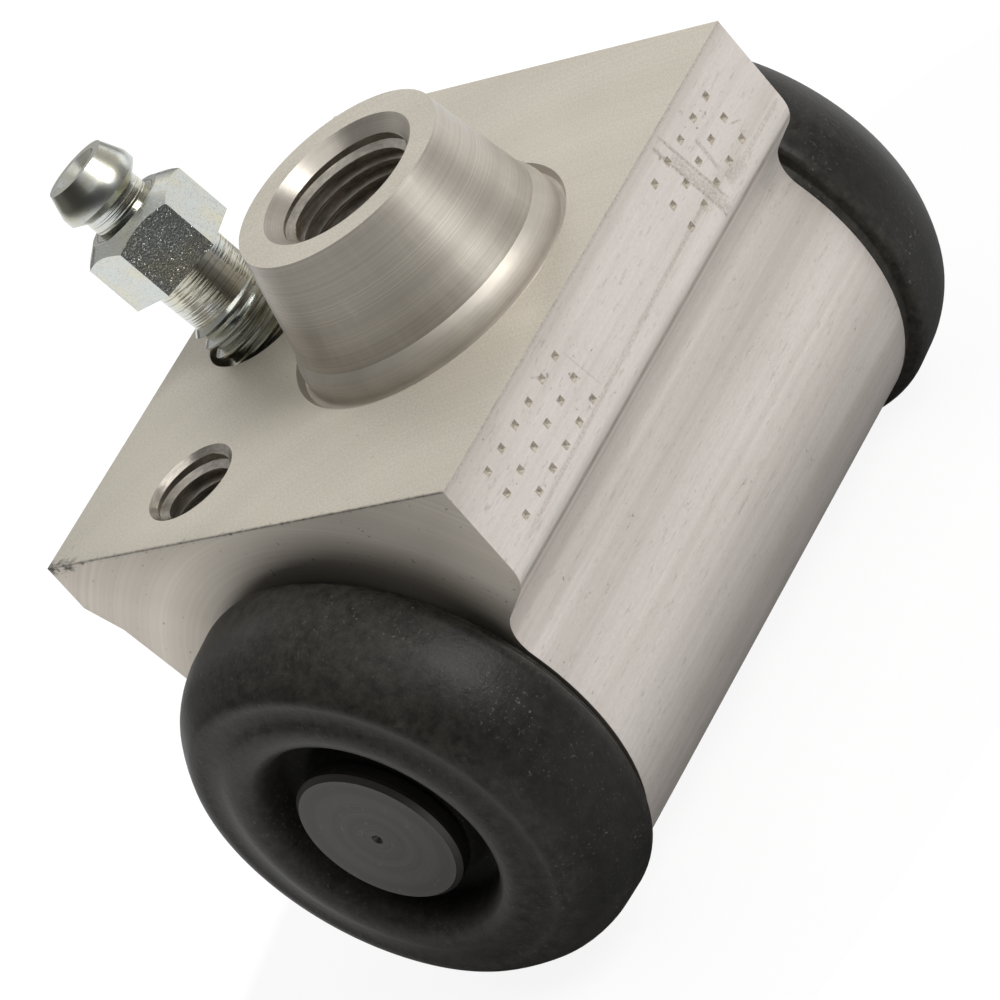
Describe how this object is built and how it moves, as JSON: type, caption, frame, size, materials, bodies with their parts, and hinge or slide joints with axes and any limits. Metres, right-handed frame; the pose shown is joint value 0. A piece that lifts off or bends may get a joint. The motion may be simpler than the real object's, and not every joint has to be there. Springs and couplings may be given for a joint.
{
  "type": "wheel cylinder",
  "caption": "Hydraulic wheel cylinder of a drum brake: flanged aluminium body with opposed pistons, rubber dust boots, a bleed screw and a threaded boss for the brake line.",
  "frame": {"origin": "where the axis of the brake-line boss crosses the flat face that bolts against the backing plate", "axes": "+Z out of that face along the boss, X along the bore, +Y towards the bleed screw's side of the flange"},
  "size_m": [0.06, 0.0381, 0.0525],
  "materials": {
    "body": "extruded and machined, satin",
    "piston": "dark turned metal",
    "seal": "smooth matte",
    "expander": "pressed, plain",
    "boot": "matte, dusty",
    "spring": "drawn wire",
    "bleed_screw": "bright zinc plating"
  },
  "bodies": {
    "cylinder": {"cylinder_body": "body", "left_dust_boot": "boot", "right_dust_boot": "boot", "return_spring": "spring"},
    "left_piston_group": {"left_piston": "piston", "left_cup_seal": "seal", "left_cup_expander": "expander"},
    "right_piston_group": {"right_piston": "piston", "right_cup_seal": "seal", "right_cup_expander": "expander"},
    "bleed_screw": {"bleed_screw": "bleed_screw"}
  },
  "joints": [
    {"name": "left_piston_slide", "type": "slide", "parent": "cylinder", "child": "left_piston_group", "axis": [-1, 0, 0], "range_m": [-0.0015, 0.006], "deforming": ["left_dust_boot", "return_spring"]},
    {"name": "right_piston_slide", "type": "slide", "parent": "cylinder", "child": "right_piston_group", "axis": [1, 0, 0], "range_m": [-0.0015, 0.006], "deforming": ["right_dust_boot", "return_spring"]},
    {"name": "bleed_screw_turn", "type": "hinge", "parent": "cylinder", "child": "bleed_screw", "pos_m": [0, 0.0169, 0], "axis": [0, 0.225, 0.9744], "range_deg": [0, 360]}
  ]
}
